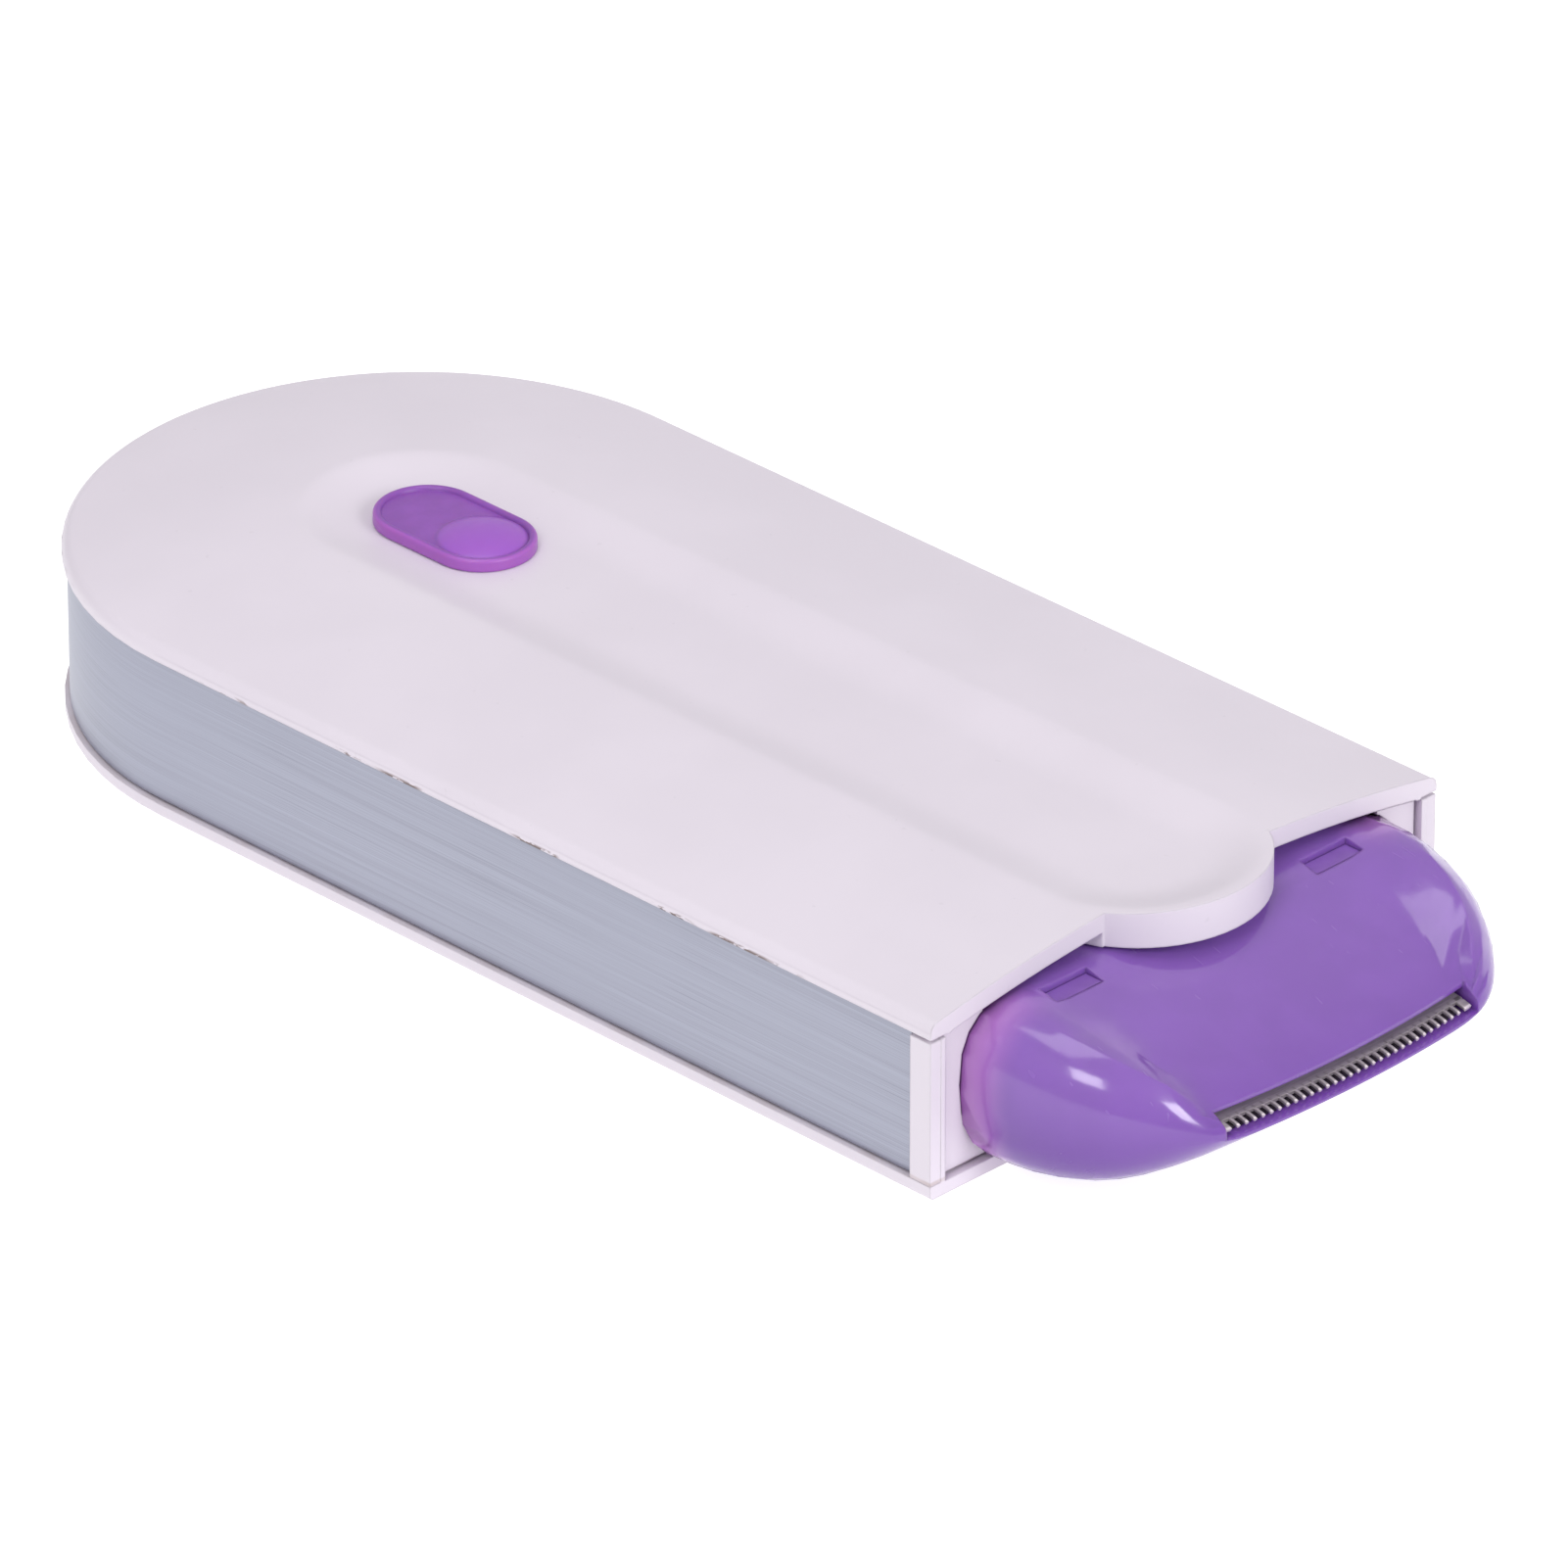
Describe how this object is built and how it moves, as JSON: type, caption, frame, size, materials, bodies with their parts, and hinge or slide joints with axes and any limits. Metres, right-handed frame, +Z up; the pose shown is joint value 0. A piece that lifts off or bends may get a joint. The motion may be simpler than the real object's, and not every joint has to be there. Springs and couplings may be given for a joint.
{
  "type": "hair trimmer",
  "caption": "Flat palm-sized cordless hair trimmer: white case, silver side band, slide switch in a thumb groove, and a purple pull-off head with a toothed oscillating blade",
  "frame": {"origin": "on the resting plane, under the middle of the whole tool", "axes": "+Z up; the head points to -Y and the round rear end to +Y; +X runs across the case"},
  "size_m": [0.061, 0.144, 0.02],
  "materials": {
    "white_case": "satin moulded plastic",
    "silver_band": "brushed lengthwise",
    "purple_head": "glossy, slightly translucent",
    "dark_purple": "moulded",
    "bright_purple": "satin",
    "blade_steel": "ground",
    "steel_parts": "plated",
    "inner_plastic": "moulded",
    "black_plastic": "moulded",
    "board": "solder mask",
    "cell_sleeve": "shrink sleeve",
    "lead_red": "insulation",
    "lead_black": "insulation"
  },
  "bodies": {
    "case": {"top_cover": "white_case", "base_shell": "white_case", "side_band": "silver_band", "front_bezel": "white_case", "case_screw_front_left": "steel_parts", "case_screw_front_right": "steel_parts", "case_screw_rear_left": "steel_parts", "case_screw_rear_right": "steel_parts", "motor_can": "steel_parts", "motor_end_cap": "black_plastic", "motor_clamp": "inner_plastic", "circuit_board": "board", "switch_body": "steel_parts", "charging_socket": "steel_parts", "battery_cell": "cell_sleeve", "battery_contact_front": "steel_parts", "battery_contact_rear": "steel_parts", "wire_battery_front": "lead_red", "wire_battery_rear": "lead_black", "wire_motor_left": "lead_black", "wire_motor_right": "lead_red"},
    "switch_slider": {"slide_knob": "bright_purple", "switch_lever": "black_plastic"},
    "rotor": {"motor_shaft": "steel_parts", "eccentric_cam": "inner_plastic", "drive_pin": "steel_parts"},
    "head": {"head_shell": "purple_head", "blade_carrier": "dark_purple", "comb_blade": "blade_steel", "blade_spring": "blade_steel"},
    "cutter": {"cutter_blade": "blade_steel", "blade_yoke": "inner_plastic"}
  },
  "joints": [
    {"name": "knob_slide", "type": "slide", "parent": "case", "child": "switch_slider", "axis": [0, -1, 0], "range_m": [0, 0.004]},
    {"name": "rotor_spin", "type": "hinge", "parent": "case", "child": "rotor", "pos_m": [0, -0.04135, 0.0083], "axis": [0, 1, 0], "continuous": true},
    {"name": "head_release", "type": "slide", "parent": "case", "child": "head", "axis": [0, -1, 0], "range_m": [0, 0.03]},
    {"name": "cutter_stroke", "type": "slide", "parent": "head", "child": "cutter", "axis": [1, 0, 0], "range_m": [-0.0007, 0.0007]}
  ]
}
